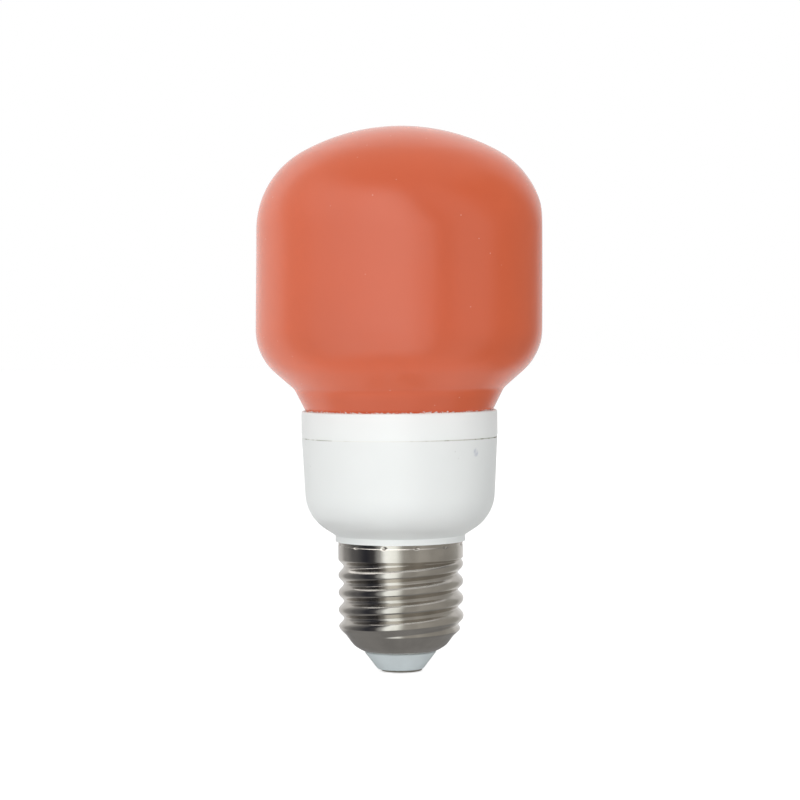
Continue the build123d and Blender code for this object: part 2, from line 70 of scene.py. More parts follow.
class BulbSizes(bpy.types.PropertyGroup):
    """Sizes of the shapes that the scene makes, in millimetres."""

    globe_radius: bpy.props.FloatProperty(
        name="Globe radius", description="Largest radius of the globe, mm", default=cad_radius("globe")
    )
    globe_top: bpy.props.FloatProperty(
        name="Globe top", description="Height of the dome, mm", default=cad_top("globe")
    )
    globe_wall: bpy.props.FloatProperty(
        name="Glass thickness", description="Wall of the blown globe, mm", default=0.8, min=0.3
    )
    dome_arc: bpy.props.FloatProperty(name="Dome arc", description="Radius of the dome, mm", default=42.3)
    shoulder_arc: bpy.props.FloatProperty(
        name="Shoulder arc", description="Radius of the upper shoulder, mm", default=18.4
    )
    heel_arc: bpy.props.FloatProperty(
        name="Heel arc", description="Radius of the lower shoulder, mm", default=12.0
    )
    glass_ripple: bpy.props.FloatProperty(
        name="Glass ripple", description="Depth of the slow waves in the blown glass, mm", default=0.11
    )
    globe_lean: bpy.props.FloatProperty(
        name="Globe lean", description="How far the cemented globe leans to the right, mm", default=0.5
    )
    thread_pitch: bpy.props.FloatProperty(
        name="Thread pitch", description="Rise of the thread in one turn, mm", default=25.4 / 7
    )
    crest_radius: bpy.props.FloatProperty(
        name="Crest radius", description="Radius over the crests of the thread, mm", default=13.05
    )
    roll_arc: bpy.props.FloatProperty(
        name="Thread arc", description="Radius of the rounded crests and roots, mm", default=1.025
    )
    punch_marks: bpy.props.IntProperty(
        name="Punch marks", description="Punched dents that hold the cap on the housing", default=12, min=1
    )


class BulbColours(bpy.types.PropertyGroup):
    """Colours of the finishes, as linear values."""

    coat: bpy.props.FloatVectorProperty(
        name="Globe coat",
        description="Orange-red coat on the glass",
        subtype="COLOR",
        size=3,
        default=(0.68, 0.134, 0.051),
    )
    housing: bpy.props.FloatVectorProperty(
        name="Housing",
        description="White moulded plastic",
        subtype="COLOR",
        size=3,
        default=(0.85, 0.88, 0.87),
    )
    nickel: bpy.props.FloatVectorProperty(
        name="Nickel",
        description="Plating of the screw cap",
        subtype="COLOR",
        size=3,
        default=(0.60, 0.565, 0.52),
    )
    insulator: bpy.props.FloatVectorProperty(
        name="Insulator",
        description="Moulded button under the cap",
        subtype="COLOR",
        size=3,
        default=(0.70, 0.77, 0.79),
    )


def sizes():
    return bpy.context.scene.bulb_sizes


def colours():
    return bpy.context.scene.bulb_colours


# outlines

def rounded_outline(corners, arc_step=6.0):
    """Points of an outline of (radius, height, fillet) corners, each fillet drawn as an arc."""
    points = []
    for index, (r, z, fillet) in enumerate(corners):
        here = Vector((r, z))
        if not fillet:
            points.append((r, z))
            continue
        before = (Vector(corners[index - 1][:2]) - here).normalized()
        after = (Vector(corners[index + 1][:2]) - here).normalized()
        opening = before.angle(after)
        reach = fillet / tan(opening / 2)
        centre = here + (before + after).normalized() * (fillet / sin(opening / 2))
        start = here + before * reach - centre
        sweep = pi - opening
        turn = 1 if before.x * after.y - before.y * after.x < 0 else -1
        steps = max(2, ceil(degrees(sweep) / arc_step))
        for step in range(steps + 1):
            angle = turn * sweep * step / steps
            x = start.x * cos(angle) - start.y * sin(angle)
            y = start.x * sin(angle) + start.y * cos(angle)
            points.append((centre.x + x, centre.y + y))
    return points


def arc_points(centre, radius, first, last, steps):
    """Points of an arc about centre, from the first angle to the last, in degrees from +r."""
    angles = [radians(first + (last - first) * step / steps) for step in range(steps + 1)]
    return [(centre[0] + radius * cos(a), centre[1] + radius * sin(a)) for a in angles]


def spaced(points, gap):
    """The same outline with no two points farther apart than gap."""
    result = [points[0]]
    for (r0, z0), (r1, z1) in zip(points, points[1:]):
        pieces = max(1, ceil(hypot(r1 - r0, z1 - z0) / gap))
        result += [
            (r0 + (r1 - r0) * step / pieces, z0 + (z1 - z0) * step / pieces)
            for step in range(1, pieces + 1)
        ]
    return result


def inset_outline(points, depth):
    """The outline moved to its left by depth."""
    moved = []
    for index, (r, z) in enumerate(points):
        r0, z0 = points[max(index - 1, 0)]
        r1, z1 = points[min(index + 1, len(points) - 1)]
        length = hypot(r1 - r0, z1 - z0)
        moved.append((max(0.0, r - depth * (z1 - z0) / length), z + depth * (r1 - r0) / length))
    return moved


# meshes

def smooth_faces(mesh_edit, crease=35.0):
    for face in mesh_edit.faces:
        face.smooth = True
    for edge in mesh_edit.edges:
        if len(edge.link_faces) == 2:
            edge.smooth = edge.calc_face_angle(0) < radians(crease)


def add_object(mesh_edit, name):
    mesh = bpy.data.meshes.new(name)
    mesh_edit.to_mesh(mesh)
    mesh_edit.free()
    added = bpy.data.objects.new(name, mesh)
    bpy.context.scene.collection.objects.link(added)
    return added


def finish_mesh(mesh_edit, name, material, crease=35.0):
    bmesh.ops.remove_doubles(mesh_edit, verts=mesh_edit.verts, dist=1e-7)
    bmesh.ops.recalc_face_normals(mesh_edit, faces=mesh_edit.faces)
    smooth_faces(mesh_edit, crease)
    piece = add_object(mesh_edit, name)
    piece.data.materials.append(material)
    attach(piece, ROOT)
    return piece


def turned(name, outline, material, steps=144, closed=True, shape=None, crease=35.0):
    """A piece turned from an outline of (radius, height) in mm. shape may move each point."""
    mesh_edit = bmesh.new()
    rings = []
    for r, z in outline:
        if r < 1e-6:
            point = Vector((0, 0, z))
            rings.append([mesh_edit.verts.new((shape(point) if shape else point) * MM)])
            continue
        ring = []
        for step in range(steps):
            angle = 2 * pi * step / steps
            point = Vector((r * cos(angle), r * sin(angle), z))
            ring.append(mesh_edit.verts.new((shape(point) if shape else point) * MM))
        rings.append(ring)
    pairs = list(zip(rings, rings[1:]))
    if closed and len(rings[0]) > 1 and len(rings[-1]) > 1:
        pairs.append((rings[-1], rings[0]))
    for lower, upper in pairs:
        for step in range(steps):
            following = (step + 1) % steps
            corners = [lower[step % len(lower)], lower[following % len(lower)]]
            corners += [upper[following % len(upper)], upper[step % len(upper)]]
            distinct = list(dict.fromkeys(corners))
            if len(distinct) > 2:
                mesh_edit.faces.new(distinct)
    return finish_mesh(mesh_edit, name, material, crease)


# materials

COLOUR_IN = (6, 7)  # the two colour inputs of a Mix node
COLOUR_OUT = 2


class NodeTree:
    """Short ways to add the nodes that the finishes and the studio share."""

    def __init__(self, tree):
        self.nodes = tree.nodes
        self.links = tree.links

    def math(self, operation, first, second=0.0):
        node = self.nodes.new("ShaderNodeMath")
        node.operation = operation
        for index, value in enumerate((first, second)):
            if isinstance(value, (int, float)):
                node.inputs[index].default_value = value
            else:
                self.links.new(value, node.inputs[index])
        return node.outputs["Value"]

    def ramp(self, value, low, high, to_low=0.0, to_high=1.0):
        """value moved from the span low to high to the span to_low to to_high, held at its ends."""
        node = self.nodes.new("ShaderNodeMapRange")
        node.interpolation_type = "SMOOTHSTEP"
        node.inputs["From Min"].default_value = low
        node.inputs["From Max"].default_value = high
        node.inputs["To Min"].default_value = to_low
        node.inputs["To Max"].default_value = to_high
        self.links.new(value, node.inputs["Value"])
        return node.outputs["Result"]

    def mix(self, factor, first, second):
        node = self.nodes.new("ShaderNodeMix")
        node.data_type = "RGBA"
        self.links.new(factor, node.inputs["Factor"])
        for index, colour in zip(COLOUR_IN, (first, second)):
            if isinstance(colour, (tuple, list)):
                node.inputs[index].default_value = (*colour[:3], 1)
            else:
                self.links.new(colour, node.inputs[index])
        return node.outputs[COLOUR_OUT]

    def place(self, kind="Object"):
        """X, Y and Z of the place, or in the world of the direction."""
        parts = self.nodes.new("ShaderNodeSeparateXYZ")
        source = self.nodes.new("ShaderNodeTexCoord").outputs[kind]
        self.links.new(source, parts.inputs["Vector"])
        return parts.outputs


class Finish(NodeTree):
    """A node material, built from its Principled shader outwards."""

    def __init__(self, name, colour, roughness, **sockets):
        self.material = bpy.data.materials.new(name)
        self.material.use_nodes = True
        super().__init__(self.material.node_tree)
        self.shader = self.nodes["Principled BSDF"]
        self.shader.inputs["Base Color"].default_value = (*colour, 1)
        self.shader.inputs["Roughness"].default_value = roughness
        for socket, value in sockets.items():
            self.shader.inputs[socket.replace("_", " ")].default_value = value
        self.texture_place = self.nodes.new("ShaderNodeTexCoord").outputs["Object"]

    def noise(self, scale, detail=3.0, roughness=0.5, stretch=(1, 1, 1)):
        mapping = self.nodes.new("ShaderNodeMapping")
        mapping.inputs["Scale"].default_value = stretch
        texture = self.nodes.new("ShaderNodeTexNoise")
        texture.inputs["Scale"].default_value = scale
        texture.inputs["Detail"].default_value = detail
        texture.inputs["Roughness"].default_value = roughness
        self.links.new(self.texture_place, mapping.inputs["Vector"])
        self.links.new(mapping.outputs["Vector"], texture.inputs["Vector"])
        return texture.outputs["Fac"]

    def specks(self, scale, size, seed=0.0):
        """1 inside small scattered dots."""
        mapping = self.nodes.new("ShaderNodeMapping")
        mapping.inputs["Location"].default_value = (seed, seed * 0.7, seed * 0.3)
        cells = self.nodes.new("ShaderNodeTexVoronoi")
        cells.inputs["Scale"].default_value = scale
        self.links.new(self.texture_place, mapping.inputs["Vector"])
        self.links.new(mapping.outputs["Vector"], cells.inputs["Vector"])
        return self.ramp(cells.outputs["Distance"], size, size * 0.6)

    def axis(self, name):
        return self.place()[name]

    def colour(self, output):
        self.links.new(output, self.shader.inputs["Base Color"])

    def roughness(self, output):
        self.links.new(output, self.shader.inputs["Roughness"])

    def bump(self, height, strength, distance):
        node = self.nodes.new("ShaderNodeBump")
        node.inputs["Strength"].default_value = strength
        node.inputs["Distance"].default_value = distance
        self.links.new(height, node.inputs["Height"])
        self.links.new(node.outputs["Normal"], self.shader.inputs["Normal"])


def shade(colour, factor):
    """The colour made lighter or darker by the factor."""
    return tuple(min(1.0, part * factor) for part in colour[:3])


def coat_finish(collar_line):
    """Dipped coat with slow clouds, dusty, and chipped at the collar; the lower bowl is painted lighter, a
    painted light standing in for light from below.
    """
    coat = tuple(colours().coat)
    finish = Finish("globe_coat", coat, 0.2, IOR=1.5, Diffuse_Roughness=1.0)
    cloud = finish.ramp(finish.noise(22, 2), 0.3, 0.7)
    body = finish.mix(cloud, shade(coat, 0.965), shade(coat, 1.03))
    # painted light: the lower bowl, between the neck and the heel, is painted lighter in place of the
    # light from below
    below_heel = finish.ramp(finish.axis("Z"), 0.0685, 0.0625)
    above_neck = finish.ramp(finish.axis("Z"), 0.0565, 0.0605)
    bowl_painted_light = finish.math("MULTIPLY", below_heel, above_neck)
    body = finish.mix(bowl_painted_light, body, shade(coat, 1.11))
    dust = finish.specks(420, 0.075)
    dusty = finish.math("MULTIPLY", dust, finish.ramp(finish.noise(60, 1), 0.52, 0.62))
    body = finish.mix(dusty, body, (0.76, 0.30, 0.20))
    grain = finish.noise(2600, 2)
    edge = finish.math("ADD", finish.axis("Z"), finish.math("MULTIPLY", grain, -0.0016))
    chips_start, chips_full = 0.72, 0.78  # mm below the collar's rim
    chips = finish.ramp(edge, (collar_line - chips_start) * MM, (collar_line - chips_full) * MM)
    body = finish.mix(chips, body, (0.82, 0.78, 0.75))
    finish.colour(body)
    finish.roughness(finish.ramp(finish.noise(90, 3), 0.3, 0.7, 0.18, 0.23))
    finish.bump(finish.noise(900, 2), 0.05, 0.0001)
    return finish.material


def housing_finish(name, tint=1.0, stained=False):
    """Moulded white plastic with a fine spark texture and a few handling marks."""
    white = shade(tuple(colours().housing), tint)
    finish = Finish(name, white, 0.38, IOR=1.46)
    cloud = finish.ramp(finish.noise(45, 3), 0.35, 0.65)
    body = finish.mix(cloud, shade(white, 0.985), shade(white, 1.01))
    patches = finish.ramp(finish.noise(70, 1), 0.62, 0.68)
    dots = finish.math("MULTIPLY", finish.specks(520, 0.10, 3.0), patches)
    body = finish.mix(finish.math("MULTIPLY", dots, 0.4), body, (0.50, 0.51, 0.50))
    if stained:
        body = housing_marks(finish, body)
    finish.colour(body)
    finish.roughness(finish.ramp(finish.noise(160, 3), 0.3, 0.7, 0.34, 0.44))
    finish.bump(finish.noise(3400, 2), 0.06, 0.00008)
    return finish.material


def housing_marks(finish, body):
    """A small bluish scuff below the right end of the seam."""
    centre_x, centre_z = 0.0155, 0.0461
    narrowness, lowness = 2200, 1300
    x, z = finish.axis("X"), finish.axis("Z")
    across = finish.math("MULTIPLY", finish.math("ADD", x, -centre_x), narrowness)
    along = finish.math("MULTIPLY", finish.math("ADD", z, -centre_z), lowness)
    across_squared = finish.math("MULTIPLY", across, across)
    along_squared = finish.math("MULTIPLY", along, along)
    near = finish.math("ADD", across_squared, along_squared)
    front = finish.ramp(finish.axis("Y"), 0.0, -0.004)
    blot = finish.math("MULTIPLY", finish.ramp(near, 1.8, 0.1), front)
    blot = finish.math("MULTIPLY", blot, finish.ramp(finish.noise(900, 2), 0.30, 0.60, 0.15, 0.6))
    return finish.mix(blot, body, (0.46, 0.50, 0.60))


def seam_finish():
    """Dirt and flash in the joint line, heavier towards the right."""
    finish = Finish("seam_dirt", (0.62, 0.64, 0.58), 0.7)
    side = finish.ramp(finish.axis("X"), -0.004, 0.018)
    patch = finish.ramp(finish.noise(520, 3), 0.42, 0.60)
    left = finish.ramp(finish.axis("X"), -0.008, -0.018, 0.0, 0.55)
    right_dirt = finish.math("MULTIPLY", side, patch)
    left_dirt = finish.math("MULTIPLY", left, patch)
    dirt = finish.math("MAXIMUM", right_dirt, left_dirt)
    dirt = finish.math("MAXIMUM", dirt, finish.math("MULTIPLY", side, 0.5))
    finish.colour(finish.mix(dirt, (0.86, 0.88, 0.85), (0.17, 0.17, 0.09)))
    return finish.material


def nickel_finish():
    """Bright nickel over rolled sheet, with drawn grain round the cap and a slight haze."""
    nickel = tuple(colours().nickel)
    finish = Finish("nickel_plate", nickel, 0.22, Metallic=1.0)
    grain = finish.noise(60, 4, 0.6, (1, 1, 26))
    haze = finish.noise(170, 3)
    body = finish.mix(finish.ramp(haze, 0.35, 0.68), shade(nickel, 0.90), shade(nickel, 1.05))
    finish.colour(body)
    both = finish.math("ADD", finish.math("MULTIPLY", grain, 0.5), finish.math("MULTIPLY", haze, 0.5))
    finish.roughness(finish.ramp(both, 0.35, 0.65, 0.10, 0.20))
    sparkle = finish.math("MULTIPLY", finish.noise(3600, 2), 0.5)
    finish.bump(finish.math("ADD", grain, sparkle), 0.14, 0.00006)
    return finish.material


def insulator_finish():
    """Cool white moulded button, painted darker grey at its foot, a painted shade where it meets the
    contact.
    """
    tone = tuple(colours().insulator)
    finish = Finish("insulator_moulding", tone, 0.34, IOR=1.5)
    body = finish.mix(finish.ramp(finish.noise(240, 3), 0.35, 0.65), shade(tone, 0.97), shade(tone, 1.03))
    # painted shade: the bottom of the button, up to 0.6 mm, is painted dark grey where it meets the
    # contact
    painted_foot_shade = finish.ramp(finish.axis("Z"), 0.0006, 0.0003)
    finish.colour(finish.mix(painted_foot_shade, body, (0.42, 0.43, 0.42)))
    finish.bump(finish.noise(2200, 2), 0.05, 0.00008)
    return finish.material


def plain_finish(name, colour, roughness, grain=600, contrast=0.06, metallic=0.0):
    """A single colour with the slight mottle and grain of a real part."""
    finish = Finish(name, colour, roughness, Metallic=metallic)
    mottle = finish.ramp(finish.noise(grain, 3), 0.3, 0.7)
    finish.colour(finish.mix(mottle, shade(colour, 1 - contrast), shade(colour, 1 + contrast)))
    finish.roughness(finish.ramp(finish.noise(grain * 1.7, 2), 0.3, 0.7, roughness * 0.9, roughness * 1.1))
    finish.bump(finish.noise(grain * 4, 2), 0.08, 0.00006)
    return finish.material


# pieces

def globe_outline():
    """The globe's outer outline, from the top of the dome down to the end of the neck."""
    size = sizes()
    edge_r = size.globe_radius
    dome = size.dome_arc
    shoulder = size.shoulder_arc
    dome_z = size.globe_top - dome
    shoulder_r = edge_r - shoulder
    shoulder_z = dome_z + sqrt((dome - shoulder) ** 2 - shoulder_r**2)
    meet = degrees(atan2(shoulder_z - dome_z, shoulder_r))
    points = arc_points((0, dome_z), dome, 90, meet, 26)
    points += arc_points((shoulder_r, shoulder_z), shoulder, meet, 0, 30)[1:]
    heel_z = 66.0
    cone_r, cone_z = 21.84, 58.9
    neck_r, neck_z = 18.6, 52.55
    lower = [
        (edge_r, shoulder_z, 0),
        (edge_r, heel_z, size.heel_arc),
        (cone_r, cone_z, 3.0),
        (neck_r, neck_z, 4.0),
        (neck_r, cad_bottom("globe"), 0),
    ]
    points += rounded_outline(lower, 4.0)[1:]
    return spaced(points, 1.2)


def eased(share):
    """share held between 0 and 1, with a soft start and end."""
    share = max(0.0, min(1.0, share))
    return share * share * (3 - 2 * share)


NECK_TOP = 56.0  # the glass below this is held true by the collar
RIPPLE_START, LEAN_SPAN = 10.0, 38.0
MIDDLE, MIDDLE_SPAN = 82.0, 12.0
WAVE_LENGTH, WAVE_GAIN = 21.0, 1.8
WAVE_PLACE = Vector((3.1, 0.4, 7.7))
FULLNESS = 0.10
EDGE_ROOM, EDGE_SOFTNESS = 0.5, 0.49


def blown(point):
    """Slow inward waves, a fuller upper right and a lean that stays inside the globe's radius."""
    size = sizes()
    radius = hypot(point.x, point.y)
    if radius < 1e-6:
        return point
    free = min(1.0, max(0.0, (point.z - NECK_TOP) / RIPPLE_START))
    wave = noise.noise(Vector((point.x, point.y, point.z * 0.8)) / WAVE_LENGTH + WAVE_PLACE)
    wave = 0.5 - 0.5 * max(-1.0, min(1.0, wave * WAVE_GAIN))
    upper = max(-1.0, min(1.0, (point.z - MIDDLE) / MIDDLE_SPAN))
    fuller = 0.5 * (1 - upper * point.x / radius)
    inwards = free * (size.glass_ripple * wave + FULLNESS * fuller * radius / size.globe_radius)
    keep = (radius - inwards) / radius
    x = point.x * keep + size.globe_lean * eased((point.z - NECK_TOP) / LEAN_SPAN)
    edge = size.globe_radius - EDGE_ROOM
    if x > edge:
        x = edge + EDGE_SOFTNESS * (1 - exp(-(x - edge) / EDGE_SOFTNESS))
    return Vector((x, point.y * keep, point.z))


class BULB_OT_globe(bpy.types.Operator):
    """Blow the coated globe with its open neck"""

    bl_idname = "bulb.globe"
    bl_label = "Globe"

    def execute(self, context):
        outer = globe_outline()
        inner = inset_outline(outer, -sizes().globe_wall)
        inner[0] = (0.0, outer[0][1] - sizes().globe_wall)
        inner[-1] = (outer[-1][0] - sizes().globe_wall, outer[-1][1])
        outline = outer + inner[::-1]
        material = coat_finish(cad_top("tube_holder"))
        piece = turned("blown_globe", outline, material, steps=256, closed=False, shape=blown)
        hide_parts("globe")
        return {"FINISHED"}


class BULB_OT_housing(bpy.types.Operator):
    """Finish the moulded collar and bowl and lay the dirt line in their joint"""

    bl_idname = "bulb.housing"
    bl_label = "Housing"

    def execute(self, context):
        dress("tube_holder", housing_finish("collar_plastic", 1.04))
        dress("ballast_housing", housing_finish("bowl_plastic", 1.0, stained=True))
        line, depth, recess = 0.2, 0.8, 0.06
        low = cad_top("ballast_housing")
        high = low + line
        outer = cad_radius("tube_holder") - recess
        inner = outer - depth
        ring = [(inner, low), (outer, low), (outer, high), (inner, high)]
        turned("seam_line", ring, seam_finish(), steps=192)
        return {"FINISHED"}


CLEAR_RADIUS = 20.0
DOME_POINTS = (  # height and radius, mm
    (4.15, 7.2),
    (4.3, 7.75),
    (4.5, 8.15),
    (4.7, 8.5),
    (5.1, 9.15),
    (5.5, 9.65),
    (6.0, 10.05),
    (6.5, 10.45),
    (7.0, 10.8),
    (7.5, 11.25),
    (8.0, 11.85),
    (8.6, 12.5),
    (9.4, 13.2),
)


def dome_radius_at(z):
    """Outer radius of the closed end of the shell, and clear of the thread above its last point."""
    for (z0, r0), (z1, r1) in zip(DOME_POINTS, DOME_POINTS[1:]):
        if z < z1:
            return r0 + (r1 - r0) * max(0.0, z - z0) / (z1 - z0)
    return CLEAR_RADIUS


def soft_min(first, second, blend):
    spread = max(blend - abs(first - second), 0.0) / blend
    return min(first, second) - spread * spread * blend / 4


class RolledShell:
    """Form of the screw shell in mm: thread, skirt above it, closed end below it and punched dents."""

    thread_start = 7.58
    crest_fullness = 1.22
    thread_tilt = 0.22
    skirt_start = 23.05
    skirt_rise = 0.7
    skirt_step = 0.05
    punch_height = 26.55
    punch_radius = 0.52
    punch_depth = 0.32
    punch_angle = radians(15)
    dome_shoulder = 7.6
    dome_top = 9.6
    dome_blend = 0.9
    dome_growth = 0.12
    dome_lean = 0.2
    groove_half = 0.32
    groove_depth = 0.07

    def __init__(self):
        size = sizes()
        self.pitch, self.crest = size.thread_pitch, size.crest_radius
        self.depth = 2 * size.roll_arc - sqrt((2 * size.roll_arc) ** 2 - (self.pitch / 2) ** 2)
        self.skirt = cad_radius("screw_shell") - self.skirt_step
        self.spacing = 2 * pi / size.punch_marks

    def thread(self, angle, z):
        pitch = self.pitch
        crest = self.thread_start + pitch * angle / (2 * pi) + self.thread_tilt * cos(angle)
        from_crest = (z - crest + pitch / 2) % pitch - pitch / 2
        across = (abs(from_crest) / (pitch / 2)) ** self.crest_fullness
        return self.crest - self.depth * (1 - cos(pi * across)) / 2

    def radius(self, angle, z):
        radius = self.thread(angle, z)
        radius += (self.skirt - radius) * eased((z - self.skirt_start) / self.skirt_rise)
        if z < self.dome_top:
            closed_end = dome_radius_at(z) + self.dome_growth - self.dome_lean * cos(angle)
            radius = soft_min(radius, closed_end, self.dome_blend)
            if z < self.dome_shoulder:
                radius = min(radius, closed_end)
        groove = max(0.0, 1 - ((z - self.punch_height) / self.groove_half) ** 2)
        return radius - self.dent(angle, z) - self.groove_depth * groove**2

    def dent(self, angle, z):
        """How far a punched dent goes in at this place, just under the upper edge."""
        if abs(z - self.punch_height) > self.punch_radius:
            return 0.0
        nearest = (angle - self.punch_angle + self.spacing / 2) % self.spacing - self.spacing / 2
        away = hypot(nearest * self.skirt, z - self.punch_height) / self.punch_radius
        return self.punch_depth * (1 - away * away) ** 2 if away < 1 else 0.0


class BULB_OT_screw_cap(bpy.types.Operator):
    """Roll the threaded shell with its punched dents"""

    bl_idname = "bulb.screw_cap"
    bl_label = "Screw cap"

    def execute(self, context):
        top, bottom = cad_top("screw_shell"), cad_bottom("screw_shell")
        wall, steps = 0.3, 264
        coarse, fine, fine_from = 0.135, 0.1, 25.8
        turned_in, turned_in_span = 9.0, 4.0
        heights = [bottom]
        while heights[-1] < top - 1e-6:
            z = heights[-1]
            heights.append(min(top, z + (coarse if z < fine_from else fine)))
        form = RolledShell()
        mesh_edit = bmesh.new()
        skins = []
        for depth in (0.0, wall):
            rows = []
            for z in heights:
                row = []
                lift = depth * max(0.0, min(1.0, (turned_in - z) / turned_in_span))
                height = min(top, z + lift)
                for step in range(steps):
                    angle = 2 * pi * step / steps
                    radius = form.radius(angle, z) - depth
                    point = Vector((radius * cos(angle), radius * sin(angle), height))
                    row.append(mesh_edit.verts.new(point * MM))
                rows.append(row)
            skins.append(rows)
        outer, inner = skins
        for rows in skins:
            for lower, upper in zip(rows, rows[1:]):
                join_rows(mesh_edit, lower, upper)
        join_rows(mesh_edit, inner[0], outer[0])
        join_rows(mesh_edit, outer[-1], inner[-1])
        piece = finish_mesh(mesh_edit, "rolled_screw_shell", nickel_finish(), crease=50)
        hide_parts("screw_shell")
        return {"FINISHED"}


def join_rows(mesh_edit, lower, upper):
    count = len(lower)
    for step in range(count):
        following = (step + 1) % count
        mesh_edit.faces.new((lower[step], lower[following], upper[following], upper[step]))


def off_centre(point):
    """The moulded button sits a little left of the axis below its seat in the shell."""
    shift, seat, span = 0.2, 6.2, 2.0
    return point - Vector((shift * min(1.0, max(0.0, (seat - point.z) / span)), 0, 0))


class BULB_OT_cap_end(bpy.types.Operator):
    """Mould the insulator button and turn the centre contact"""

    bl_idname = "bulb.cap_end"
    bl_label = "Cap end"

    def execute(self, context):
        bore, stem_r, hollow_r = 1.6, 1.45, 0.9
        disc_top, seat_top = 0.4, 6.2
        button = rounded_outline(
            [
                (bore, disc_top, 0),
                (4.8, disc_top, 0.35),
                (7.5, 3.9, 0.12),
                (7.25, 4.15, 0),
                (7.05, 4.15, 0),
                (7.05, 4.5, 0),
                (8.2, 5.1, 0.1),
                (8.2, seat_top, 0.2),
                (bore, seat_top, 0),
            ]
        )
        piece = turned("insulator_button", button, insulator_finish(), shape=off_centre)
        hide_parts("cap_insulator")
        contact = rounded_outline(
            [
                (0.0, 0.0, 0),
                (4.3, 0.0, 0.2),
                (4.3, disc_top, 0.08),
                (stem_r, disc_top, 0),
                (stem_r, seat_top, 0),
                (2.4, seat_top, 0.1),
                (2.4, 6.5, 0.1),
                (hollow_r, 6.5, 0),
                (hollow_r, disc_top, 0),
                (0.0, disc_top, 0),
            ]
        )
        metal = plain_finish("contact_metal", (0.50, 0.47, 0.40), 0.38, 900, 0.10, 1.0)
        piece = turned("contact_disc", contact, metal, steps=96, closed=False)
        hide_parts("centre_contact")
        return {"FINISHED"}


def dress(node, material):
    """Gives a CAD node its finish in the object's own slots."""
    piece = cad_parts[node]
    for material_slot in piece.material_slots:
        material_slot.link = "OBJECT"
        material_slot.material = material


class BULB_OT_inside(bpy.types.Operator):
    """Finish the discharge tube and the ballast inside the housing"""

    bl_idname = "bulb.inside"
    bl_label = "Tube and ballast"

    def execute(self, context):
        black = (0.03, 0.03, 0.032)
        copper = (0.50, 0.17, 0.06)
        ferrite = (0.055, 0.055, 0.06)
        tinned = (0.62, 0.61, 0.58)
        finishes = {
            "discharge_tube": ("phosphor_glass", (0.86, 0.86, 0.82), 0.16, 120, 0.03, 0.0),
            "ballast_board": ("board_laminate", (0.36, 0.24, 0.10), 0.55, 300, 0.12, 0.0),
            "smoothing_capacitor": ("capacitor_sleeve", (0.03, 0.04, 0.07), 0.30, 400, 0.06, 0.0),
            "choke_core": ("choke_ferrite", ferrite, 0.55, 900, 0.15, 0.0),
            "choke_bobbin": ("bobbin_moulding", black, 0.45, 600, 0.08, 0.0),
            "choke_coil": ("choke_winding", copper, 0.32, 1800, 0.25, 0.6),
            "drive_transformer": ("ring_ferrite", (0.07, 0.11, 0.08), 0.45, 800, 0.12, 0.0),
            "power_transistors": ("transistor_moulding", black, 0.42, 900, 0.10, 0.0),
            "resonant_capacitor": ("red_film_capacitor", (0.38, 0.05, 0.03), 0.25, 300, 0.06, 0.0),
            "coupling_capacitor": ("brown_film_capacitor", (0.34, 0.17, 0.03), 0.25, 300, 0.06, 0.0),
            "fuse_resistor": ("fuse_cement", (0.22, 0.36, 0.36), 0.6, 700, 0.10, 0.0),
            "rectifier_diodes": ("diode_moulding", black, 0.40, 900, 0.10, 0.0),
            "board_resistors": ("resistor_lacquer", (0.50, 0.34, 0.17), 0.35, 700, 0.08, 0.0),
            "filter_choke": ("drum_ferrite", ferrite, 0.55, 900, 0.15, 0.0),
            "filter_coil": ("filter_winding", copper, 0.32, 1800, 0.25, 0.6),
            "wrap_pins": ("tinned_pins", tinned, 0.35, 900, 0.08, 1.0),
            "electrode_leads": ("bare_lead_wire", tinned, 0.35, 900, 0.08, 1.0),
            "live_lead": ("red_insulation", (0.42, 0.02, 0.015), 0.40, 500, 0.06, 0.0),
            "shell_lead": ("black_insulation", black, 0.40, 500, 0.08, 0.0),
        }
        for node, values in finishes.items():
            dress(node, plain_finish(*values))
        return {"FINISHED"}


# stage

def softbox(name, place, target, width, height, power):
    lamp = bpy.data.lights.new(name, "AREA")
    lamp.shape = "RECTANGLE"
    lamp.size, lamp.size_y = width, height
    lamp.energy = power
    holder = bpy.data.objects.new(name, lamp)
    holder.location = place
    holder.rotation_euler = (Vector(target) - Vector(place)).to_track_quat("-Z", "Y").to_euler()
    holder.visible_camera = False
    holder.visible_glossy = False
    bpy.context.scene.collection.objects.link(holder)


# What gloss reflects, by bearing: degrees from the front, left negative, and the brightness.
REFLECTED_ROOM = (
    (-180, 1.0),
    (-140, 1.0),
    (-112, 1.25),
    (-96, 0.85),
    (-82, 0.95),
    (-62, 1.5),
    (-40, 1.95),
    (8, 2.25),
    (20, 1.8),
    (35, 0.65),
    (52, 0.95),
    (66, 0.9),
    (90, 0.25),
    (130, 0.25),
    (158, 0.8),
    (180, 1.0),
)
